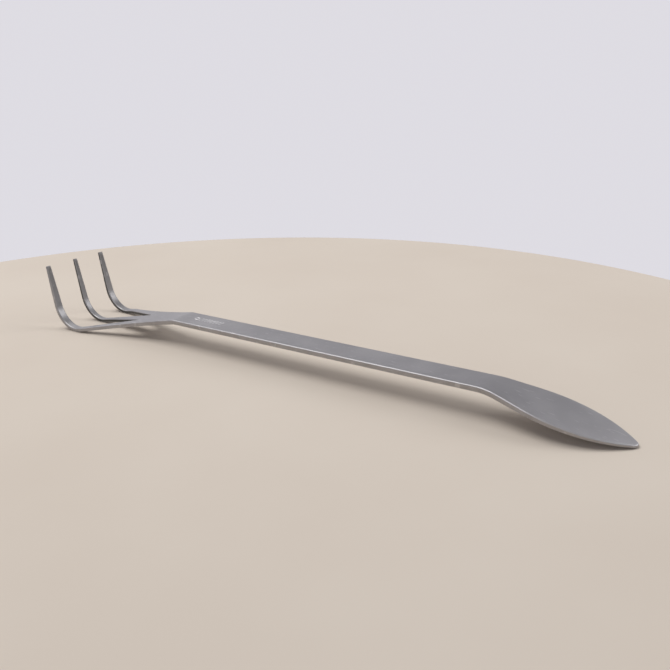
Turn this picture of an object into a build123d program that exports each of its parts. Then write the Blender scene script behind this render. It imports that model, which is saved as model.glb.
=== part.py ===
from build123d import *
from math import cos, radians, sin, tan
import os

# A root rake with a leaf-shaped spatula at its other end, cut from one stainless plate,
# ground and then bent. Millimetres and degrees. The tines point up at -X and the spatula
# lies at +X. The origin is under the middle of the tool, on the surface that it rests on.

# Driving dimensions of the plate and the handle.
overall_length = 220.0
plate_thickness = 1.7
handle_width = 10.6
handle_length = 121.7
edge_radius = 0.32

# The head: a plate that falls away from the neck and forks into three tines.
neck_radius = 5.5
head_slope = 10.4
head_length = 44.5
head_width = 28.2
fork_width = 24.2
fork_length = 36.0
fork_flare = 0.30
flare_overlap = 2.5

# The slots between the tines, measured along X from the neck.
slot_start = 19.4
slot_knee = 39.5
slot_knee_y = 10.4
slot_spacing = 6.0
slot_end_radius = 0.35
middle_tine_flare = 0.1

# The tines: bent up through nearly a right angle, and tapering to blunt tips.
tine_bend_radius = 9.2
tine_lean = 10.6
tine_length = 15.8
tine_root_thickness = 1.4
tine_tip_thickness = 1.15
outer_tine_root_width = 2.9
outer_tine_tip_width = 1.6
outer_tine_tip_y = 13.35
middle_tine_root_width = 2.25
middle_tine_tip_width = 1.35

# The spatula: a thin leaf that falls from the shoulder to the resting surface.
shoulder_radius = 30.0
blade_width = 17.7
blade_widest = 18.4
blade_lead_in = 4.5
blade_tip_thickness = 0.9
blade_tip_radius = 1.8
blade_tip_angle = 50.0

# Two faces that meet at less than this many degrees are one smooth surface.
smooth_limit = 20.0


def direction(angle):
    """Unit vector in the side view, counted from +X towards +Z."""
    return Vector(cos(radians(angle)), sin(radians(angle)))


def eased(start, start_slope, end, end_slope):
    """Control points of a cubic that leaves and arrives at the given slopes."""
    step = (end[0] - start[0]) / 3
    leave = (start[0] + step, start[1] + start_slope * step)
    arrive = (end[0] - step, end[1] - end_slope * step)
    return [start, leave, arrive, end]


def eased_up(start, end, end_slope):
    """The same for a curve that climbs straight up from its start, as tine edges do."""
    turned = eased((start[1], start[0]), 0, (end[1], end[0]), end_slope)
    return [(across, along) for along, across in turned]


# Directions along each stretch of the plate, and out of its upper face.
head_along = direction(180 + head_slope)
head_up = direction(90 + head_slope)
tine_along = direction(90 + tine_lean)
tine_face = direction(tine_lean)
tine_turn = 90 - tine_lean + head_slope

# Side view of the upper face, starting from a neck at x = 0.
bend_drop = head_length * sin(radians(head_slope))
bend_rise = tine_bend_radius * (1 - cos(radians(head_slope)))
handle_top = tine_root_thickness + bend_drop + bend_rise
bend_start = Vector(0, handle_top) + head_along * head_length
bend_centre = bend_start + head_up * tine_bend_radius
bend_end = bend_centre - tine_face * tine_bend_radius
tine_tip = bend_end + tine_along * tine_length
tine_tip_back = tine_tip - tine_face * tine_tip_thickness

# The neck goes where the whole tool is centred on the origin.
neck_x = -overall_length / 2 - tine_tip_back.X
to_neck = Vector(neck_x, 0)
neck = Vector(neck_x, handle_top)
shoulder = Vector(neck_x + handle_length, handle_top)
blade_tip = Vector(overall_length / 2, blade_tip_thickness)
bend_x = bend_start.X + neck_x
tine_top = tine_tip.Y

# Corners of the underside, one plate thickness in from the upper face's corners.
neck_half_turn = radians(head_slope / 2)
blade_slope = (shoulder - blade_tip).get_angle(Vector(-1, 0))
shoulder_half_turn = radians(blade_slope / 2)
neck_under = neck + Vector(tan(neck_half_turn), -1) * plate_thickness
shoulder_under = shoulder - Vector(tan(shoulder_half_turn), 1) * plate_thickness
blade_tip_under = Vector(blade_tip.X, 0)
bend_start_under = bend_start + to_neck - head_up * tine_root_thickness
bend_end_under = bend_end + to_neck - tine_face * tine_root_thickness

# Widest half width of anything, and a margin for tools that cut right through.
half_width = head_width / 2
margin = 5.0


# The bent plate as a strip of full width, before its outline is cut.
with BuildPart() as strip:
    with BuildSketch(Plane.XZ):
        with BuildLine():
            upper_corners = [blade_tip, shoulder, neck, bend_start + to_neck]
            upper_radii = [shoulder_radius + plate_thickness, neck_radius + plate_thickness]
            FilletPolyline(upper_corners, radius=upper_radii)
            JernArc(bend_start + to_neck, head_along, tine_bend_radius, -tine_turn)
            Line(bend_end + to_neck, tine_tip + to_neck)
            Line(tine_tip + to_neck, tine_tip_back + to_neck)
            Line(tine_tip_back + to_neck, bend_end_under)
            outer_radius = tine_bend_radius + tine_root_thickness
            JernArc(bend_end_under, -tine_along, outer_radius, tine_turn)
            lower_corners = [bend_start_under, neck_under, shoulder_under, blade_tip_under]
            FilletPolyline(lower_corners, radius=[neck_radius, shoulder_radius])
            Line(blade_tip_under, blade_tip)
        make_face()
    extrude(amount=half_width + margin, both=True)

# Half widths, places and slopes of the outline in plan.
tip_centre_x = blade_tip.X - blade_tip_radius
tip_turn = direction(blade_tip_angle)
leaf_end = (tip_centre_x + blade_tip_radius * tip_turn.X, blade_tip_radius * tip_turn.Y)
leaf_end_slope = -1 / tan(radians(blade_tip_angle))
leaf_widest = (shoulder.X + blade_widest, blade_width / 2)
leaf_start = (shoulder.X - blade_lead_in, handle_width / 2)
flare_start = (neck_x + flare_overlap, handle_width / 2)
fork = (neck_x - fork_length, fork_width / 2)
fork_end = (bend_x, half_width)
outer_tine_inside = half_width - outer_tine_root_width
middle_tine_side = middle_tine_root_width / 2
slot_apex = (neck_x - slot_start, slot_spacing / 2)
slot_knee_point = (neck_x - slot_knee, slot_knee_y)
knee_slope = (slot_knee_y - slot_apex[1]) / (slot_start - slot_knee)
slot_inner_knee = (neck_x - slot_knee, middle_tine_side + middle_tine_flare)
inner_slope = (slot_apex[1] - slot_inner_knee[1]) / (slot_knee - slot_start)

# The handle, the spatula and the fork, as far as the start of the tines' bend.
with BuildPart() as flats:
    add(strip.part)
    with BuildSketch():
        with BuildLine():
            CenterArc((tip_centre_x, 0), blade_tip_radius, 0, blade_tip_angle)
            Bezier(*eased(leaf_end, leaf_end_slope, leaf_widest, 0))
            Bezier(*eased(leaf_widest, 0, leaf_start, 0))
            Line(leaf_start, flare_start)
            Bezier(*eased(flare_start, 0, fork, -fork_flare))
            Bezier(*eased(fork, -fork_flare, fork_end, 0))
            Line(fork_end, (bend_x, 0))
            mirror(about=Plane.XZ)
        make_face()
    extrude(amount=handle_top + margin, mode=Mode.INTERSECT)
    for side in (1, -1):
        with BuildSketch():
            with BuildLine():
                Bezier(*eased((bend_x, middle_tine_side), 0, slot_inner_knee, inner_slope))
                slot_corners = [slot_inner_knee, slot_apex, slot_knee_point]
                FilletPolyline(slot_corners, radius=[slot_end_radius])
                Bezier(*eased(slot_knee_point, knee_slope, (bend_x, outer_tine_inside), 0))
                Line((bend_x, outer_tine_inside), (bend_x, middle_tine_side))
            make_face()
            if side < 0:
                mirror(about=Plane.XZ, mode=Mode.REPLACE)
        extrude(amount=handle_top + margin, mode=Mode.SUBTRACT)

# The tines from the start of their bend to their tips, tapering in the front view.
taper_start = bend_start.Y
taper_end = tine_top + margin
taper_height = tine_top - taper_start
outer_side_taper = (outer_tine_tip_y - half_width) / taper_height
outer_tip_inside = outer_tine_tip_y - outer_tine_tip_width
inner_side_taper = (outer_tip_inside - outer_tine_inside) / taper_height
middle_taper = (middle_tine_tip_width / 2 - middle_tine_side) / taper_height

tine_climb = taper_end - taper_start
outer_front = (outer_tine_inside, inner_side_taper, half_width, outer_side_taper)
mirrored_front = (-half_width, -outer_side_taper, -outer_tine_inside, -inner_side_taper)
middle_front = (-middle_tine_side, -middle_taper, middle_tine_side, middle_taper)

with BuildPart() as tines:
    add(strip.part)
    with BuildSketch(Plane.YZ.offset(bend_x)):
        for left, left_taper, right, right_taper in (outer_front, middle_front, mirrored_front):
            left_top = (left + left_taper * tine_climb, taper_end)
            right_top = (right + right_taper * tine_climb, taper_end)
            with BuildLine():
                Line((left, -margin), (right, -margin))
                Line((right, -margin), (right, taper_start))
                Bezier(*eased_up((right, taper_start), right_top, right_taper))
                Line(right_top, left_top)
                Bezier(*eased_up((left, taper_start), left_top, left_taper))
                Line((left, taper_start), (left, -margin))
            make_face()
    extrude(amount=-(bend_x + overall_length), mode=Mode.INTERSECT)


def is_corner(edge, part):
    """True where two faces of the part meet at an angle, not where one runs on as the next."""
    point = edge @ 0.5
    normals = [face.normal_at(point) for face in part.faces() if edge in face.edges()]
    return len(normals) == 2 and normals[0].get_angle(normals[1]) > smooth_limit


# The whole tool is one piece of steel: the outline is ground round on every edge.
with BuildPart() as root_rake:
    add(flats.part)
    add(tines.part)
    corners = root_rake.edges().filter_by(lambda edge: is_corner(edge, root_rake.part))
    fillet(corners, radius=edge_radius)

root_rake.part.label = "root_rake"
os.makedirs("parts", exist_ok=True)
export_step(root_rake.part, "parts/root_rake.step")
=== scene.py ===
"""Looks of the bonsai root rake: one bent stainless plate with three tines and a leaf spatula."""
import math

import bmesh
import bpy
import numpy as np
from mathutils import Matrix, Vector


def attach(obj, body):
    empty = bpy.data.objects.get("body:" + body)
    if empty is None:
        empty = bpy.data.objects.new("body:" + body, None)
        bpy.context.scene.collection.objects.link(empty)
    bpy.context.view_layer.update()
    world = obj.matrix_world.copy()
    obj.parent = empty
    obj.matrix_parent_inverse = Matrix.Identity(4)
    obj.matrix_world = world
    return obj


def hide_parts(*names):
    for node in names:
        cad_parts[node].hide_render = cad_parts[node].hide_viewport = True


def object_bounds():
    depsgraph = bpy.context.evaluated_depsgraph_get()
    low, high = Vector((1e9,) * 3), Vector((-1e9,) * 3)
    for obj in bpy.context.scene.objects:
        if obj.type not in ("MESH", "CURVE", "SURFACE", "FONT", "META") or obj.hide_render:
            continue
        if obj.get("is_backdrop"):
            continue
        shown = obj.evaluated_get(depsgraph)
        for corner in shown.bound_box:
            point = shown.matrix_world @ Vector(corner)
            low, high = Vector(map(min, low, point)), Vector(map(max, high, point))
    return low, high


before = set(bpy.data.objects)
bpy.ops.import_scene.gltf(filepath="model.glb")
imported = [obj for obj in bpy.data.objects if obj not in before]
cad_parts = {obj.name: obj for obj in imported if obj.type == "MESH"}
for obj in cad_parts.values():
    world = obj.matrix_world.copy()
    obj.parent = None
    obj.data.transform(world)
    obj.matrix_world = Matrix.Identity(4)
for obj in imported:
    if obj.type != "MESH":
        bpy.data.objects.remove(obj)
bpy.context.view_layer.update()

MM = 0.001

# Dimensions of the tool in millimetres and degrees, as the CAD part has them.
OVERALL_LENGTH = 220.0
PLATE = 1.7
HANDLE_WIDTH = 10.6
HANDLE_LENGTH = 121.7
EDGE_RADIUS = 0.32
NECK_RADIUS = 5.5
HEAD_SLOPE = 10.4
HEAD_LENGTH = 44.5
HEAD_WIDTH = 28.2
FORK_WIDTH = 24.2
FORK_LENGTH = 36.0
FORK_FLARE = 0.30
FLARE_OVERLAP = 2.5
SLOT_START = 19.4
SLOT_KNEE = 39.5
SLOT_KNEE_Y = 10.4
SLOT_SPACING = 6.0
SLOT_END_RADIUS = 0.35
MIDDLE_TINE_FLARE = 0.1
BEND_RADIUS = 9.2
TINE_LEAN = 10.6
TINE_LENGTH = 15.8
TINE_ROOT = 1.4
TINE_TIP = 1.15
OUTER_ROOT_WIDTH = 2.9
OUTER_TIP_WIDTH = 1.6
OUTER_TIP_Y = 13.35
MIDDLE_ROOT_WIDTH = 2.25
MIDDLE_TIP_WIDTH = 1.35
SHOULDER_RADIUS = 30.0
BLADE_WIDTH = 17.7
BLADE_WIDEST = 18.4
BLADE_LEAD_IN = 4.5
BLADE_TIP = 0.9
BLADE_TIP_RADIUS = 1.8
BLADE_TIP_ANGLE = 50.0
TAPER_MARGIN = 5.0


def direction(angle):
    """Unit vector in the side view, counted from +X towards +Z."""
    return np.array([math.cos(math.radians(angle)), math.sin(math.radians(angle))])


# Corners of the side view: the upper face and, one thickness below it, the underside.
head_along = direction(180 + HEAD_SLOPE)
head_up = direction(90 + HEAD_SLOPE)
tine_along = direction(90 + TINE_LEAN)
tine_face = direction(TINE_LEAN)
tine_turn = math.radians(90 - TINE_LEAN + HEAD_SLOPE)
bend_drop = HEAD_LENGTH * math.sin(math.radians(HEAD_SLOPE))
bend_rise = BEND_RADIUS * (1 - math.cos(math.radians(HEAD_SLOPE)))
handle_top = TINE_ROOT + bend_drop + bend_rise
local_bend = np.array([0, handle_top]) + head_along * HEAD_LENGTH
local_tip = local_bend + (head_up - tine_face) * BEND_RADIUS + tine_along * TINE_LENGTH
neck_x = -OVERALL_LENGTH / 2 - (local_tip - tine_face * TINE_TIP)[0]
neck = np.array([neck_x, handle_top])
shoulder = np.array([neck_x + HANDLE_LENGTH, handle_top])
blade_tip = np.array([OVERALL_LENGTH / 2, BLADE_TIP])
bend_start = neck + head_along * HEAD_LENGTH
bend_centre = bend_start + head_up * BEND_RADIUS
bend_end = bend_centre - tine_face * BEND_RADIUS
tine_tip = bend_end + tine_along * TINE_LENGTH
bend_x = bend_start[0]
neck_lean = math.tan(math.radians(HEAD_SLOPE) / 2)
blade_slope = math.atan2(handle_top - BLADE_TIP, blade_tip[0] - shoulder[0])
neck_under = neck + np.array([neck_lean, -1]) * PLATE
shoulder_under = shoulder - np.array([math.tan(blade_slope / 2), 1]) * PLATE
blade_tip_under = np.array([blade_tip[0], 0])
bend_start_under = bend_start - head_up * TINE_ROOT
bend_end_under = bend_end - tine_face * TINE_ROOT
tine_tip_under = tine_tip - tine_face * TINE_TIP


def straight(start, end):
    """A straight piece, as a function of the part of it that is passed."""
    return lambda part: start + np.outer(part, end - start)


def arc(centre, radius, angle, turn):
    """A round piece, as the same kind of function."""
    return lambda part: centre + radius * np.stack(
        [np.cos(angle + turn * part), np.sin(angle + turn * part)], 1
    )


def rounded_run(corners, radii):
    """Straight pieces along the corners, with an arc of each radius at the inner ones."""
    pieces, start = [], corners[0]
    for i, radius in enumerate(radii, 1):
        into = (corners[i] - corners[i - 1]) / np.linalg.norm(corners[i] - corners[i - 1])
        out = (corners[i + 1] - corners[i]) / np.linalg.norm(corners[i + 1] - corners[i])
        turn = math.atan2(into[0] * out[1] - into[1] * out[0], into @ out)
        reach = radius * math.tan(abs(turn) / 2)
        side = math.copysign(1, turn)
        begin = corners[i] - into * reach
        centre = begin + np.array([-into[1], into[0]]) * radius * side
        angle = math.atan2(*(begin - centre)[::-1])
        pieces.append(straight(start, begin))
        pieces.append(arc(centre, radius, angle, turn))
        start = corners[i] + out * reach
    return pieces + [straight(start, corners[-1])]


def side_run(corners, radii, bend_radius, tine_start, tine_end):
    """One face of the plate in the side view, from the spatula's tip to the tines' tips."""
    angle = math.radians(270 + HEAD_SLOPE)
    bend = arc(bend_centre, bend_radius, angle, -tine_turn)
    return rounded_run(corners, radii) + [bend, straight(tine_start, tine_end)]


upper_run = side_run(
    [blade_tip, shoulder, neck, bend_start],
    [SHOULDER_RADIUS + PLATE, NECK_RADIUS + PLATE],
    BEND_RADIUS, bend_end, tine_tip,
)
under_run = side_run(
    [blade_tip_under, shoulder_under, neck_under, bend_start_under],
    [SHOULDER_RADIUS, NECK_RADIUS],
    BEND_RADIUS + TINE_ROOT, bend_end_under, tine_tip_under,
)
PIECE_STEPS = 201
steps = np.linspace(0, 1, PIECE_STEPS)
upper = np.concatenate([piece(steps) for piece in upper_run])
under = np.concatenate([piece(steps) for piece in under_run])
travel = np.concatenate([[0], np.cumsum(np.linalg.norm(np.diff(upper, axis=0), axis=1))])
full_travel = travel[-1]


def travel_at(x):
    """Length along the upper face from the spatula's tip, for a place on the flats."""
    return np.interp(-np.asarray(x, float), -upper[:, 0], travel)


def face_points(s):
    """The upper face's and the underside's points in the side view at that travel."""
    top = np.stack([np.interp(s, travel, upper[:, k]) for k in (0, 1)], -1)
    low = np.stack([np.interp(s, travel, under[:, k]) for k in (0, 1)], -1)
    return top, low


bend_travel = float(travel_at(bend_x))


def smooth(t):
    """Climbs from 0 to 1, level at both ends."""
    return t * t * (3 - 2 * t)


def eased(x, start, start_slope, end, end_slope):
    """A cubic that leaves start and arrives at end with the given slopes."""
    span = end[0] - start[0]
    t = (x - start[0]) / span
    rise = start[1] + (end[1] - start[1]) * smooth(t)
    return rise + span * t * (1 - t) * (start_slope * (1 - t) - end_slope * t)


# Half widths in plan, from the spatula's tip to the fork.
tip_centre_x = blade_tip[0] - BLADE_TIP_RADIUS
leaf_end = tuple(np.array([tip_centre_x, 0]) + BLADE_TIP_RADIUS * direction(BLADE_TIP_ANGLE))
leaf_end_slope = -1 / math.tan(math.radians(BLADE_TIP_ANGLE))
leaf_widest = (shoulder[0] + BLADE_WIDEST, BLADE_WIDTH / 2)
leaf_start = (shoulder[0] - BLADE_LEAD_IN, HANDLE_WIDTH / 2)
flare_start = (neck_x + FLARE_OVERLAP, HANDLE_WIDTH / 2)
fork = (neck_x - FORK_LENGTH, FORK_WIDTH / 2)
fork_end = (bend_x, HEAD_WIDTH / 2)


def half_width(x):
    """Half width of the outline in plan."""
    x = np.asarray(x, float)
    tip = np.sqrt(np.maximum(BLADE_TIP_RADIUS**2 - (x - tip_centre_x) ** 2, 0))
    pieces = [
        (x > leaf_end[0], tip),
        (x > leaf_widest[0], eased(x, leaf_end, leaf_end_slope, leaf_widest, 0)),
        (x > leaf_start[0], eased(x, leaf_widest, 0, leaf_start, 0)),
        (x > flare_start[0], np.full_like(x, HANDLE_WIDTH / 2)),
        (x > fork[0], eased(x, flare_start, 0, fork, -FORK_FLARE)),
        (x > fork_end[0], eased(x, fork, -FORK_FLARE, fork_end, 0)),
    ]
    return np.select([p[0] for p in pieces], [p[1] for p in pieces], HEAD_WIDTH / 2)


# The slots: a rounded apex, two nearly straight sides, and the tines' inner edges.
tine_inside = HEAD_WIDTH / 2 - OUTER_ROOT_WIDTH
middle_side = MIDDLE_ROOT_WIDTH / 2
apex = np.array([neck_x - SLOT_START, SLOT_SPACING / 2])
outer_knee = np.array([neck_x - SLOT_KNEE, SLOT_KNEE_Y])
inner_knee = np.array([neck_x - SLOT_KNEE, middle_side + MIDDLE_TINE_FLARE])
outer_way = (outer_knee - apex) / np.linalg.norm(outer_knee - apex)
inner_way = (inner_knee - apex) / np.linalg.norm(inner_knee - apex)
slot_half = math.acos(outer_way @ inner_way) / 2
slot_way = (outer_way + inner_way) / np.linalg.norm(outer_way + inner_way)
slot_centre = apex + slot_way * SLOT_END_RADIUS / math.sin(slot_half)
slot_front = slot_centre[0] + SLOT_END_RADIUS


def slot_side(x, way, knee, root, sign):
    """Where one side of the slot is at x: its round end, its straight run, then its root."""
    x = np.asarray(x, float)
    slope = way[1] / way[0]
    touch = apex[0] + way[0] * SLOT_END_RADIUS / math.tan(slot_half)
    bow = np.sqrt(np.maximum(SLOT_END_RADIUS**2 - (x - slot_centre[0]) ** 2, 0))
    run = apex[1] + (x - apex[0]) * slope
    rooted = eased(x, tuple(knee), slope, (bend_x, root), 0)
    return np.select([x > touch, x > knee[0]], [slot_centre[1] + sign * bow, run], rooted)


# The tines' edges in the front view, climbing from the start of the bend.
taper_start = bend_start[1]
taper_height = tine_tip[1] - taper_start
tine_climb = taper_height + TAPER_MARGIN


def tine_edge(s, root, tip):
    """Distance from the middle plane of a tine's edge, at that travel past the bend."""
    top, low = face_points(s)
    t = np.clip(((top[:, 1] + low[:, 1]) / 2 - taper_start) / tine_climb, 0, 1)
    slope = (tip - root) / taper_height
    return root + slope * tine_climb * t * t * (2 - t)


def corner_inset(s):
    """How far a tine's edge draws in at the rounded corners of its tip."""
    left = np.clip(EDGE_RADIUS - (full_travel - s), 0, EDGE_RADIUS)
    return EDGE_RADIUS - np.sqrt(EDGE_RADIUS**2 - left**2)


def fork_edges(s):
    """The middle tine's side and the outer tine's inner and outer edge, at that travel."""
    s = np.atleast_1d(np.asarray(s, float))
    x = face_points(s)[0][:, 0]
    flat = s < bend_travel
    inner_tip = OUTER_TIP_Y - OUTER_TIP_WIDTH
    middle = np.where(
        flat,
        slot_side(x, inner_way, inner_knee, middle_side, -1),
        tine_edge(s, middle_side, MIDDLE_TIP_WIDTH / 2),
    )
    inside = np.where(
        flat,
        slot_side(x, outer_way, outer_knee, tine_inside, 1),
        tine_edge(s, tine_inside, inner_tip),
    )
    outside = np.where(flat, half_width(x), tine_edge(s, HEAD_WIDTH / 2, OUTER_TIP_Y))
    inset = corner_inset(s)
    return middle - inset, inside + inset, outside - inset


# Rows and columns of the mesh. The rows lie across the plate, from the spatula's tip to the
# tines' tips, and are closest where the shape turns. Distances are in millimetres.
RIM_STEPS = 5
MIDDLE_COLUMNS = 9
OUTER_COLUMNS = 11
AFTER_TIP_RIM = (0.5, 0.8, 1.2)
LAST_TIP_BLEND = 0.95
BEFORE_SLOT = (1.4, 1.0, 0.7, 0.5)
SLOT_END_TURNS = (25, 45, 60, 75, 90)
SLOT_ROWS = 25
SLOT_GATHER = 1.6
KNEE_ROWS = 6
BEND_ROWS = 32
TINE_ROWS = 13
ROOM_FOR_RIMS = 2.5


def rows_between(start, end, count):
    """That many even places from start to end, with the end but without the start."""
    return np.linspace(start, end, count + 1)[1:]


# Distances in from an edge of the places in its rounding.
rims = RIM_STEPS + 1
rim = EDGE_RADIUS * (1 - np.cos(np.linspace(0, math.pi / 2, rims)))
tip_straight = tip_centre_x - BLADE_TIP_RADIUS / 2
tip_blend = np.concatenate([rim, AFTER_TIP_RIM]) / (leaf_end[0] - tip_straight)
tip_blend = np.append(tip_blend[tip_blend < LAST_TIP_BLEND], 1.0)

# Places that the rows lead up to: past and before the shoulder, before the marks, before and
# past the neck, and before the slots.
stations = (
    (shoulder[0] + 6, 41),
    (shoulder[0] - 8, 35),
    (neck_x + 22, 39),
    (neck_x + 2, 63),
    (neck_x - 3, 15),
    (slot_front + BEFORE_SLOT[0], 27),
)
common_rows, reached = [], tip_straight
for station, count in stations:
    common_rows.extend(rows_between(reached, station, count))
    reached = station
common_rows.extend(slot_front + np.array(BEFORE_SLOT[1:]))
common_rows.extend(slot_front + rim[::-1])

slot_turn = np.radians(SLOT_END_TURNS)
run_length = slot_centre[0] - outer_knee[0]
fork_rows = np.concatenate([
    slot_front - SLOT_END_RADIUS * (1 - np.cos(slot_turn)),
    slot_centre[0] - run_length * rows_between(0, 1, SLOT_ROWS) ** SLOT_GATHER,
    rows_between(outer_knee[0], bend_x, KNEE_ROWS),
])
bend_rows = bend_travel + BEND_RADIUS * tine_turn * rows_between(0, 1, BEND_ROWS)
tine_rows = rows_between(bend_rows[-1], full_travel - EDGE_RADIUS, TINE_ROWS)
tine_rows = np.append(tine_rows, full_travel - rim[::-1][1:])
fork_travel = np.concatenate([travel_at(fork_rows), bend_rows, tine_rows])


def across(low, high, count):
    """Places across a strip: the rounding of both edges, and even steps between them."""
    inner = np.linspace(low + EDGE_RADIUS, high - EDGE_RADIUS, count + 2)[1:-1]
    return np.concatenate([low + rim, inner, high - rim[::-1]])


def squeezed(low, high, count):
    """The same for a strip that may be too narrow for both roundings."""
    wide = high - low
    if wide > ROOM_FOR_RIMS * EDGE_RADIUS:
        return across(low, high, count)
    return low + wide * (across(-1.0, 1.0, count) + 1) / 2


# Columns where the slots begin, gathered at the edges of what will be the three tines.
front_y = slot_centre[1]
front_width = float(half_width(slot_front))
front_layout = np.concatenate([
    across(-front_width, -front_y, OUTER_COLUMNS),
    across(-front_y, front_y, MIDDLE_COLUMNS)[1:],
    across(front_y, front_width, OUTER_COLUMNS)[1:],
])
column_count = len(front_layout)
inner_count = column_count - 2 * rims
gathered = front_layout[rims:-rims] / (front_width - EDGE_RADIUS)
even = np.linspace(-1, 1, inner_count + 2)[1:-1]
even_from = neck_x + 1


def common_columns(x):
    """Places across the undivided plate, even on the handle and gathered at the slots."""
    width = float(half_width(x))
    t = smooth(np.clip((x - slot_front) / (even_from - slot_front), 0, 1))
    middle = (width - EDGE_RADIUS) * (gathered * (1 - t) + even * t)
    return np.concatenate([-width + rim, middle, width - rim[::-1]])


# The undivided plate as two grids: travel and distance from the middle plane.
common_s, common_y = [], []
end_y = leaf_end[1]
for blend in tip_blend:
    x_side = leaf_end[0] + (tip_straight - leaf_end[0]) * blend
    width = float(half_width(x_side))
    y = squeezed(-width, width, inner_count)
    arc_y = y / width * end_y
    arc_x = tip_centre_x + np.sqrt(BLADE_TIP_RADIUS**2 - arc_y**2)
    common_s.append(travel_at(arc_x + (tip_straight - arc_x) * blend))
    common_y.append(y)
for x in common_rows:
    common_s.append(np.full(column_count, travel_at(x)))
    common_y.append(common_columns(x))
common_s, common_y = np.array(common_s), np.array(common_y)

# Half of the whole outline in travel and half width, to measure how near the edge a point is.
LEAF_POINTS = 500
FLARE_POINTS = 300
SLOT_POINTS = 200
ROUND_POINTS = 40
CORNER_POINTS = 20
tip_turn = np.radians(np.linspace(0, BLADE_TIP_ANGLE, ROUND_POINTS))
slot_round = np.linspace(math.pi / 2, 0, ROUND_POINTS)
corner_turn = np.linspace(0, math.pi / 2, CORNER_POINTS)[1:]
plan_x = np.concatenate([
    np.linspace(leaf_end[0], leaf_start[0], LEAF_POINTS)[1:],
    np.linspace(flare_start[0], bend_x, FLARE_POINTS),
])
slot_x = np.concatenate([
    np.linspace(bend_x, slot_centre[0], SLOT_POINTS)[:-1],
    slot_front - SLOT_END_RADIUS * (1 - np.cos(slot_round)),
])
slot_s = travel_at(slot_x)
up_s = np.concatenate([
    np.linspace(bend_travel, full_travel - EDGE_RADIUS, SLOT_POINTS),
    full_travel - EDGE_RADIUS * (1 - np.sin(corner_turn)),
])
up_middle, up_inside, up_outside = fork_edges(up_s)
slot_middle, slot_inside, _ = fork_edges(slot_s)
tip_x = tip_centre_x + BLADE_TIP_RADIUS * np.cos(tip_turn)
outline = np.concatenate([
    np.stack([travel_at(tip_x), BLADE_TIP_RADIUS * np.sin(tip_turn)], 1),
    np.stack([travel_at(plan_x), half_width(plan_x)], 1),
    np.stack([up_s, up_outside], 1),
    np.stack([up_s, up_inside], 1)[::-1],
    np.stack([slot_s, slot_inside], 1),
    np.stack([slot_s, slot_middle], 1)[::-1],
    np.stack([up_s, up_middle], 1),
    [[full_travel, 0]],
])
POINTS_AT_ONCE = 1500
TINY = 1e-12


def edge_distance(s, y):
    """Shortest distance from each point of the unrolled plate to its outline."""
    points = np.stack([s.ravel(), np.abs(y.ravel())], 1)
    start, along = outline[:-1], np.diff(outline, axis=0)
    length_squared = np.maximum((along**2).sum(1), TINY)
    found = []
    for block in np.array_split(points, max(1, len(points) // POINTS_AT_ONCE)):
        gap = block[:, None, :] - start
        t = np.clip((gap * along).sum(2) / length_squared, 0, 1)
        away = gap - t[:, :, None] * along
        found.append(np.sqrt((away**2).sum(2).min(1)))
    return np.concatenate(found).reshape(s.shape)


vertices, vertex_s, vertex_edge = [], [], []


def add_grid(s, y, on_rim):
    """Adds the upper and lower vertices of a grid, and gives their numbers."""
    gap = edge_distance(s, y)
    gap[on_rim] = 0
    inner = np.clip(EDGE_RADIUS - gap, 0, EDGE_RADIUS)
    drop = EDGE_RADIUS - np.sqrt(EDGE_RADIUS**2 - inner**2)
    top, low = face_points(s.ravel())
    up = (top - low) / np.linalg.norm(top - low, axis=1)[:, None]
    first = len(vertices)
    for face, sign in ((top, -1), (low, 1)):
        place = face + up * (sign * drop.ravel())[:, None]
        vertices.extend(np.stack([place[:, 0], y.ravel(), place[:, 1]], 1) * MM)
        vertex_s.extend(s.ravel())
        vertex_edge.extend(gap.ravel())
    numbers = np.arange(s.size).reshape(s.shape) + first
    return numbers, numbers + s.size


rim_of_common = np.zeros(common_s.shape, bool)
rim_of_common[0] = True
rim_of_common[:, [0, -1]] = True
outer_count = OUTER_COLUMNS + 2 * rims
middle_count = MIDDLE_COLUMNS + 2 * rims
left_join = outer_count - 1
right_join = left_join + middle_count - 1
rim_of_common[-1, [left_join, right_join]] = True
common_top, common_low = add_grid(common_s, common_y, rim_of_common)

# The three tines go on from the last common row, each with its own columns.
middle_y, inside_y, outside_y = fork_edges(fork_travel)
branch_edges = (
    (-outside_y, -inside_y, OUTER_COLUMNS, 0, left_join),
    (-middle_y, middle_y, MIDDLE_COLUMNS, left_join, right_join),
    (inside_y, outside_y, OUTER_COLUMNS, right_join, column_count - 1),
)
branches = []
for low_edge, high_edge, count, first, last in branch_edges:
    y = np.array([squeezed(low, high, count) for low, high in zip(low_edge, high_edge)])
    s = np.repeat(fork_travel[:, None], y.shape[1], 1)
    on_rim = np.zeros(s.shape, bool)
    on_rim[-1] = True
    on_rim[:, [0, -1]] = True
    top, low = add_grid(s, y, on_rim)
    top = np.vstack([common_top[-1, first:last + 1], top])
    low = np.vstack([common_low[-1, first:last + 1], low])
    branches.append((top, low))

# Faces, each with the kind of surface it belongs to.
UPPER, UNDER, CUT, SLOT = 0, 1, 2, 3
faces, kinds = [], []


def quads(grid, kind, flip):
    """Adds a face for each cell of a grid of vertex numbers."""
    block = np.stack([grid[:-1, :-1], grid[:-1, 1:], grid[1:, 1:], grid[1:, :-1]], -1)
    block = block.reshape(-1, 4)
    faces.extend((block[:, ::-1] if flip else block).tolist())
    kinds.extend([kind] * len(block))


def wall(top_edge, low_edge, flip, kind=CUT):
    """Closes the plate along one edge."""
    quads(np.stack([top_edge, low_edge]), kind, flip)


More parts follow.
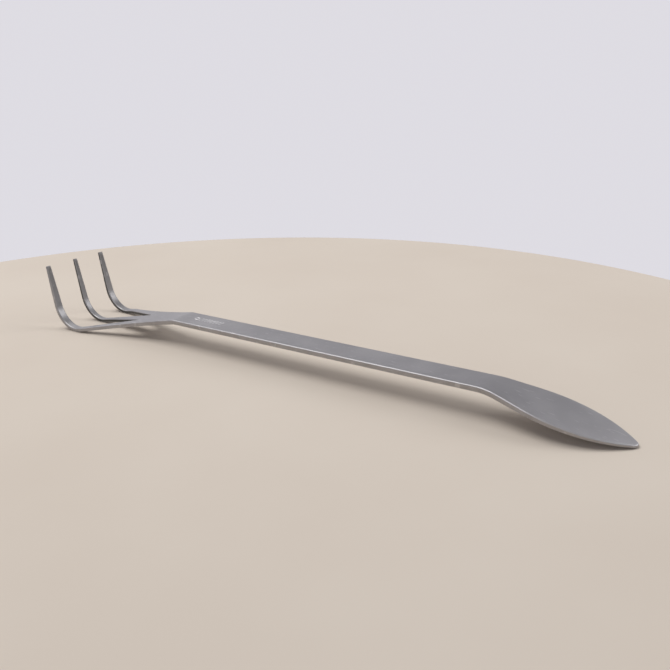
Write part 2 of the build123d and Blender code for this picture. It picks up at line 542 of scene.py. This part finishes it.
quads(common_top, UPPER, False)
quads(common_low, UNDER, True)
wall(common_top[0], common_low[0], True)
wall(common_top[:, 0], common_low[:, 0], False)
wall(common_top[:, -1], common_low[:, -1], True)
for (top, low), low_side, high_side in zip(branches, (CUT, SLOT, SLOT), (SLOT, SLOT, CUT)):
    quads(top, UPPER, False)
    quads(low, UNDER, True)
    wall(top[-1], low[-1], False)
    wall(top[:, 0], low[:, 0], False, low_side)
    wall(top[:, -1], low[:, -1], True, high_side)

mesh = bpy.data.meshes.new("root_rake_visual")
mesh.from_pydata([tuple(v) for v in vertices], [], faces)
mesh.validate()
bm = bmesh.new()
bm.from_mesh(mesh)
travel_layer = bm.verts.layers.float.new("travel")
edge_layer = bm.verts.layers.float.new("edge_gap")
kind_layer = bm.faces.layers.int.new("kind")
for vert, s, gap in zip(bm.verts, vertex_s, vertex_edge):
    vert[travel_layer] = s * MM
    vert[edge_layer] = gap * MM
for face, kind in zip(bm.faces, kinds):
    face[kind_layer] = kind

# Punched marks on the handle, in millimetres: a small ring and a row of slanted ticks. The
# window is the part of the mesh around them that is made finer.
MARK_START = neck_x + 7.0
MARK_Y = 0.4
MARK_DEPTH = 0.20
MARK_RADIUS = 0.25
TICK_STEP = 1.35
TICK_COUNT = 8
TICK_HALF = 1.0
TICK_SLANT = 0.35
TICK_OFFSET = 0.9
RING_RADIUS = 0.9
WINDOW_BEFORE = 1.6
WINDOW_ASIDE = 1.4
WINDOW_CUTS = 3


def mark_depth(x, y):
    """Depth of the punched marks at a place on the handle's upper face."""
    u, v = x - MARK_START, y - MARK_Y
    nearest = abs(math.hypot(u, v) - RING_RADIUS)
    for tick in range(TICK_COUNT):
        at = RING_RADIUS + TICK_STEP * (tick + TICK_OFFSET)
        along = max(-1.0, min(1.0, v / TICK_HALF))
        nearest = min(nearest, math.hypot(u - at - TICK_SLANT * along, v - TICK_HALF * along))
    return MARK_DEPTH * smooth(max(0.0, 1 - nearest / MARK_RADIUS))


mark_end = MARK_START + RING_RADIUS + TICK_STEP * (TICK_COUNT + 1)
window_low = (MARK_START - WINDOW_BEFORE, MARK_Y - WINDOW_ASIDE)
window_high = (mark_end, MARK_Y + WINDOW_ASIDE)


def in_window(point):
    """True within the part of the handle that the marks take up."""
    x, y = point[0] / MM, point[1] / MM
    return window_low[0] < x < window_high[0] and window_low[1] < y < window_high[1]


window = [f for f in bm.faces if f[kind_layer] == UPPER and in_window(f.calc_center_median())]
window_edges = list(dict.fromkeys(edge for f in window for edge in f.edges))
bmesh.ops.subdivide_edges(bm, edges=window_edges, cuts=WINDOW_CUTS, use_grid_fill=True)
mark_layer = bm.verts.layers.float.new("punched")
for vert in bm.verts:
    if vert.co.z > (handle_top - PLATE / 2) * MM and in_window(vert.co):
        depth = mark_depth(vert.co.x / MM, vert.co.y / MM)
        vert.co.z -= depth * MM
        vert[mark_layer] = depth / MARK_DEPTH

# Real-size coordinates in metres along and across each face, for the grinding grain. The
# shifts keep the faces' patterns apart, and the skew keeps them from mirroring each other.
FACE_SHIFT = 0.05
CUT_SHIFT = 0.1
CUT_SKEW = 0.2
SIDE_SHIFT = 0.1
grain = bm.loops.layers.uv.new("grain")
for face in bm.faces:
    kind = face[kind_layer]
    for loop in face.loops:
        co = loop.vert.co
        if kind in (CUT, SLOT):
            along = loop.vert[travel_layer] + co.y * CUT_SKEW
            loop[grain].uv = (along, CUT_SHIFT + co.z + abs(co.y) * SIDE_SHIFT)
        else:
            loop[grain].uv = (loop.vert[travel_layer], co.y + kind * FACE_SHIFT)

# The sides of the plate, and among them the walls of the slots.
for name, wanted in (("cut_face", (CUT, SLOT)), ("slot_face", (SLOT,))):
    layer = bm.verts.layers.float.new(name)
    for face in bm.faces:
        if face[kind_layer] in wanted:
            for vert in face.verts:
                vert[layer] = 1.0
bmesh.ops.recalc_face_normals(bm, faces=bm.faces)
for face in bm.faces:
    face.smooth = True
bm.to_mesh(mesh)
bm.free()

# The broad flat faces rule the shading, and the narrow roundings follow them.
FLAT_FACE_WEIGHT = 80
rake = bpy.data.objects.new("root_rake_visual", mesh)
bpy.context.scene.collection.objects.link(rake)
weights = rake.modifiers.new("face_weights", "WEIGHTED_NORMAL")
weights.mode = "FACE_AREA"
weights.weight = FLAT_FACE_WEIGHT


class Nodes:
    """A short way of writing a node tree."""

    def __init__(self, tree):
        self.tree = tree
        tree.nodes.clear()

    def add(self, kind, inputs=None, **settings):
        node = self.tree.nodes.new(kind)
        for name, value in settings.items():
            setattr(node, name, value)
        for name, value in (inputs or {}).items():
            self.fill(node.inputs[name], value)
        return node

    def fill(self, socket, value):
        """Links the socket to another, or sets its value."""
        if isinstance(value, bpy.types.NodeSocket):
            self.tree.links.new(value, socket)
        else:
            socket.default_value = value

    def attribute(self, name):
        return self.add("ShaderNodeAttribute", attribute_name=name).outputs["Fac"]

    def math(self, operation, *values):
        inputs = dict(enumerate(values))
        return self.add("ShaderNodeMath", inputs, operation=operation).outputs[0]

    def noise(self, vector, scale, detail, roughness):
        inputs = {"Vector": vector, "Scale": scale, "Detail": detail, "Roughness": roughness}
        return self.add("ShaderNodeTexNoise", inputs).outputs["Fac"]

    def stretched(self, vector, scale):
        inputs = {"Vector": vector, "Scale": scale}
        return self.add("ShaderNodeMapping", inputs).outputs["Vector"]

    def between(self, value, low, high, to_low=0.0, to_high=1.0):
        """Carries the range from low to high over to another, and stops at its ends."""
        inputs = {0: value, 1: low, 2: high, 3: to_low, 4: to_high}
        return self.add("ShaderNodeMapRange", inputs, clamp=True).outputs[0]

    def mix(self, factor, first, second):
        node = self.add("ShaderNodeMix", data_type="RGBA")
        for index, value in ((0, factor), (6, first), (7, second)):
            self.fill(node.inputs[index], value)
        return node.outputs[2]


# Colours of the steel: ground, duller, rubbed, the cut sides' duller finish with painted shade on
# them, painted shade in the slots and towards the tines' tips, painted shade at the bottom of the
# marks, and a painted highlight on their lips.
STEEL = (0.474, 0.466, 0.478, 1.0)
STEEL_DULL = (0.418, 0.411, 0.423, 1.0)
STEEL_WORN = (0.640, 0.632, 0.636, 1.0)
STEEL_CUT_AND_SHADE = (0.285, 0.268, 0.256, 1.0)
STEEL_SLOT_SHADE = (0.070, 0.071, 0.066, 1.0)
STEEL_TINE_SHADE = (0.190, 0.187, 0.184, 1.0)
STEEL_MARK_SHADE = (0.260, 0.248, 0.243, 1.0)
STEEL_LIP_HIGHLIGHT = (0.900, 0.890, 0.895, 1.0)

# Sizes of the patterns, in waves per metre: along and across the grain, or in space.
FINE_GRAIN = (90.0, 9000.0, 1.0)
COARSE_GRAIN = (45.0, 2600.0, 1.0)
SWELL_WAVES = (60.0, 130.0, 1.0)
SCUFF_WAVES = (300.0, 900.0, 300.0)
SPECKLE_WAVES = 7000.0
PATCH_WAVES = 240.0
CLOUD_WAVES = 70.0

ROUGH_LOW = 0.38
ROUGH_HIGH = 0.46
RUB_REACH = 0.40 * MM
GRAIN_DEPTH = 0.02 * MM
SWELL_DEPTH = 0.06 * MM


def steel_patterns(n):
    """The noises and masks that the steel's colour, roughness and relief share."""
    place = n.add("ShaderNodeTexCoord").outputs["Object"]
    strip = n.add("ShaderNodeUVMap", uv_map="grain").outputs["UV"]
    scuff_way = n.noise(n.stretched(place, SCUFF_WAVES), 1.0, 1.0, 0.5)
    patterns = {
        "fine": n.noise(n.stretched(strip, FINE_GRAIN), 1.0, 3.0, 0.6),
        "coarse": n.noise(n.stretched(strip, COARSE_GRAIN), 1.0, 2.0, 0.55),
        "swell": n.noise(n.stretched(strip, SWELL_WAVES), 1.0, 1.0, 0.4),
        "speckle": n.noise(place, SPECKLE_WAVES, 2.0, 0.6),
        "cloud": n.noise(place, CLOUD_WAVES, 3.0, 0.55),
        "patch": n.noise(place, PATCH_WAVES, 4.0, 0.6),
        "scuff": n.between(scuff_way, 0.66, 0.72),
        "cut": n.attribute("cut_face"),
        "slot": n.attribute("slot_face"),
    }

    # The ground edges are rubbed brighter, unevenly, but hardly in the slots.
    near_edge = n.between(n.attribute("edge_gap"), 0.0, RUB_REACH, 1.0, 0.0)
    uneven = n.between(patterns["patch"], 0.30, 0.62, 0.45, 1.0)
    outside_slots = n.math("MULTIPLY_ADD", patterns["slot"], -0.8, 1.0)
    rubbed = n.math("MULTIPLY", near_edge, uneven)
    patterns["rubbed"] = n.math("MULTIPLY", rubbed, outside_slots)
    return patterns


def steel_colour(n, patterns):
    """Satin steel with painted shade on its cut sides, in the slots, towards the tines' tips and
    at the bottom of the marks, a painted highlight on the marks' lips, and brighter where it is
    rubbed.
    """
    reach = n.attribute("travel")
    punched = n.attribute("punched")
    colour = n.mix(n.between(patterns["cloud"], 0.34, 0.68), STEEL_DULL, STEEL)
    both_grains = n.math("ADD", patterns["fine"], patterns["coarse"])
    colour = n.mix(n.between(both_grains, 0.75, 1.25, 0.0, 0.35), colour, STEEL_DULL)
    # Painted shade: the cut sides are darkened, over their duller cut finish, for the shaded
    # places they face.
    colour = n.mix(n.math("MULTIPLY", patterns["cut"], 0.85), colour, STEEL_CUT_AND_SHADE)
    # Painted shade: the tines are darkened towards their tips.
    tine_shade = n.between(reach, bend_travel * MM, full_travel * MM, 0.0, 0.9)
    colour = n.mix(tine_shade, colour, STEEL_TINE_SHADE)
    # Painted shade: the slot walls are painted nearly black.
    colour = n.mix(patterns["slot"], colour, STEEL_SLOT_SHADE)
    colour = n.mix(n.math("MULTIPLY", patterns["rubbed"], 0.35), colour, STEEL_WORN)
    colour = n.mix(n.math("MULTIPLY", patterns["scuff"], 0.35), colour, STEEL_WORN)
    # Painted shade at the bottom of the punched marks.
    colour = n.mix(n.between(punched, 0.75, 1.0, 0.0, 0.7), colour, STEEL_MARK_SHADE)
    # Painted highlight: a bright ring on the lips of the punched marks.
    shallow = n.between(punched, 0.0, 0.25)
    lip_highlight = n.math("MULTIPLY", shallow, n.between(punched, 0.7, 0.95, 1.0, 0.0))
    return n.mix(n.math("MULTIPLY", lip_highlight, 0.8), colour, STEEL_LIP_HIGHLIGHT)


def steel_roughness(n, patterns):
    """Clouded roughness, and how much each pattern adds to it or takes away."""
    both = n.math("ADD", patterns["cloud"], patterns["patch"])
    rough = n.between(both, 0.7, 1.3, ROUGH_LOW, ROUGH_HIGH)
    for name, change in (("fine", 0.10), ("rubbed", -0.03), ("scuff", -0.06), ("cut", 0.05)):
        rough = n.math("MULTIPLY_ADD", patterns[name], change, rough)
    return rough


def steel_relief(n, patterns):
    """The grinding grain on top of a slow swell of the whole surface."""
    height = n.math("MULTIPLY", patterns["fine"], 0.4)
    height = n.math("MULTIPLY_ADD", patterns["coarse"], 0.6, height)
    height = n.math("MULTIPLY_ADD", patterns["speckle"], 0.5, height)
    inputs = {"Height": height, "Strength": 0.6, "Distance": GRAIN_DEPTH}
    grain_bump = n.add("ShaderNodeBump", inputs)
    inputs = {"Height": patterns["swell"], "Strength": 0.5, "Distance": SWELL_DEPTH}
    inputs["Normal"] = grain_bump.outputs["Normal"]
    return n.add("ShaderNodeBump", inputs).outputs["Normal"]


def satin_steel():
    """The one material of the tool: satin ground stainless steel."""
    material = bpy.data.materials.new("satin_steel_ground")
    material.use_nodes = True
    n = Nodes(material.node_tree)
    patterns = steel_patterns(n)
    inputs = {"Base Color": steel_colour(n, patterns), "Metallic": 1.0}
    inputs["Roughness"] = steel_roughness(n, patterns)
    inputs["Normal"] = steel_relief(n, patterns)
    shader = n.add("ShaderNodeBsdfPrincipled", inputs)
    n.add("ShaderNodeOutputMaterial", {"Surface": shader.outputs["BSDF"]})
    return material


mesh.materials.append(satin_steel())
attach(rake, "root")
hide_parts("root_rake")

# The camera, from the place and turn that the photograph was taken at.
AIM = Vector((10.0, 0.0, 8.0)) * MM
AZIMUTH, ELEVATION, ROLL = math.radians(35.11), math.radians(19.887), math.radians(-2.057)
DISTANCE, SLIDE_RIGHT, SLIDE_UP = 248.3 * MM, 4.985 * MM, 4.734 * MM
LENS, SENSOR = 41.31, 36.0
CLIP_NEAR, CLIP_FAR = 0.01, 20.0
level_right = Vector((math.cos(AZIMUTH), math.sin(AZIMUTH), 0.0))
back = Vector((
    math.sin(AZIMUTH) * math.cos(ELEVATION),
    -math.cos(AZIMUTH) * math.cos(ELEVATION),
    math.sin(ELEVATION),
))
level_up = back.cross(level_right)
away = Vector((-math.sin(AZIMUTH), math.cos(AZIMUTH), 0.0))
right = level_right * math.cos(ROLL) + level_up * math.sin(ROLL)
up = level_up * math.cos(ROLL) - level_right * math.sin(ROLL)
camera_data = bpy.data.cameras.new("camera")
camera_data.lens = LENS
camera_data.sensor_width = SENSOR
camera_data.clip_start = CLIP_NEAR
camera_data.clip_end = CLIP_FAR
camera = bpy.data.objects.new("camera", camera_data)
bpy.context.scene.collection.objects.link(camera)
turn = Matrix((right, up, back)).transposed().to_4x4()
spot = AIM + right * SLIDE_RIGHT + up * SLIDE_UP + back * DISTANCE
camera.matrix_world = Matrix.Translation(spot) @ turn
bpy.context.scene.camera = camera

# A pale round table top with a softened rim, in metres.
TABLE_CENTRE = Vector((-0.013, -0.050, 0.0))
TABLE_RADIUS = 0.235
TABLE_DEPTH = 0.03
RIM_ROUND = 0.003
TABLE_SIDES = 192
RIM_SEGMENTS = 4
CLOUDS_PER_METRE = 14.0
PALE, PALER = (0.680, 0.606, 0.524, 1.0), (0.706, 0.636, 0.554, 1.0)
floor_mesh = bpy.data.meshes.new("floor")
bm = bmesh.new()
bmesh.ops.create_cone(
    bm, cap_ends=True, segments=TABLE_SIDES,
    radius1=TABLE_RADIUS, radius2=TABLE_RADIUS, depth=TABLE_DEPTH,
    matrix=Matrix.Translation(TABLE_CENTRE - Vector((0, 0, TABLE_DEPTH / 2))),
)
rim_edges = [e for e in bm.edges if all(v.co.z > -TABLE_DEPTH / 2 for v in e.verts)]
bmesh.ops.bevel(
    bm, geom=rim_edges, offset=RIM_ROUND, segments=RIM_SEGMENTS, affect="EDGES", profile=0.5
)
bm.to_mesh(floor_mesh)
bm.free()
floor = bpy.data.objects.new("floor", floor_mesh)
bpy.context.scene.collection.objects.link(floor)


def pale_ground():
    """A plain pale surface with faint clouds."""
    material = bpy.data.materials.new("pale_ground")
    material.use_nodes = True
    n = Nodes(material.node_tree)
    place = n.add("ShaderNodeTexCoord").outputs["Object"]
    cloud = n.noise(place, CLOUDS_PER_METRE, 3.0, 0.5)
    colour = n.mix(n.between(cloud, 0.3, 0.7), PALE, PALER)
    inputs = {"Base Color": colour, "Roughness": 0.8, "Specular IOR Level": 0.2}
    shader = n.add("ShaderNodeBsdfPrincipled", inputs)
    n.add("ShaderNodeOutputMaterial", {"Surface": shader.outputs["BSDF"]})
    return material


floor_mesh.materials.append(pale_ground())
floor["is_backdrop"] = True


def from_tool(right_way, away_way, up_way):
    """A place in metres from the tool: to the camera's right, away from it, and up."""
    return level_right * right_way + away * away_way + Vector((0, 0, up_way))


def softbox(name, offset, target, size, power, colour):
    """A rectangular area light at one place, aimed at another."""
    data = bpy.data.lights.new(name, "AREA")
    data.shape = "RECTANGLE"
    data.size, data.size_y = size
    data.energy = power
    data.color = colour
    light = bpy.data.objects.new(name, data)
    bpy.context.scene.collection.objects.link(light)
    light.location = from_tool(*offset)
    aim = from_tool(*target) - light.location
    light.rotation_mode = "QUATERNION"
    light.rotation_quaternion = aim.to_track_quat("-Z", "Y")


WARM_WHITE = (1.0, 0.985, 0.970)
WHITE = (1.0, 0.995, 0.990)
softbox("overhead", (-0.32, 0.18, 0.79), (0, 0, 0), (0.70, 0.54), 5.1, WARM_WHITE)
softbox("window", (0.66, 0.12, 0.47), (-0.08, 0, 0), (0.40, 0.50), 2.0, WHITE)

ROOM_COLOUR = (0.985, 0.965, 1.030, 1.0)
ROOM_STRENGTH = 0.745
SHADE_WAY = (0.99, 0.05, -0.05)


def soft_room():
    """A pale room: brightest low on its walls, dimmer above, and dark low at the right."""
    world = bpy.data.worlds.new("soft_room")
    world.use_nodes = True
    n = Nodes(world.node_tree)
    way = n.add("ShaderNodeTexCoord").outputs["Generated"]
    climb = n.add("ShaderNodeSeparateXYZ", {0: way}).outputs["Z"]
    low_wall = n.between(climb, 0.12, 0.36, 1.0, 0.61)
    high_wall = n.between(climb, 0.47, 0.68, 1.0, 0.35)
    ceiling = n.between(climb, 0.75, 0.98, 0.0, 0.06)
    inputs = {0: way, 1: from_tool(*SHADE_WAY).normalized()}
    facing = n.add("ShaderNodeVectorMath", inputs, operation="DOT_PRODUCT").outputs["Value"]
    shade = n.between(facing, 0.70, 0.95, 1.0, 0.22)
    light = n.math("MULTIPLY_ADD", low_wall, high_wall, ceiling)
    light = n.math("MULTIPLY", light, shade)
    strength = n.math("MULTIPLY", light, ROOM_STRENGTH)
    sky = n.add("ShaderNodeBackground", {"Color": ROOM_COLOUR, "Strength": strength})
    n.add("ShaderNodeOutputWorld", {"Surface": sky.outputs["Background"]})
    return world


bpy.context.scene.world = soft_room()
bpy.context.scene.view_settings.view_transform = "Standard"

low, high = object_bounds()
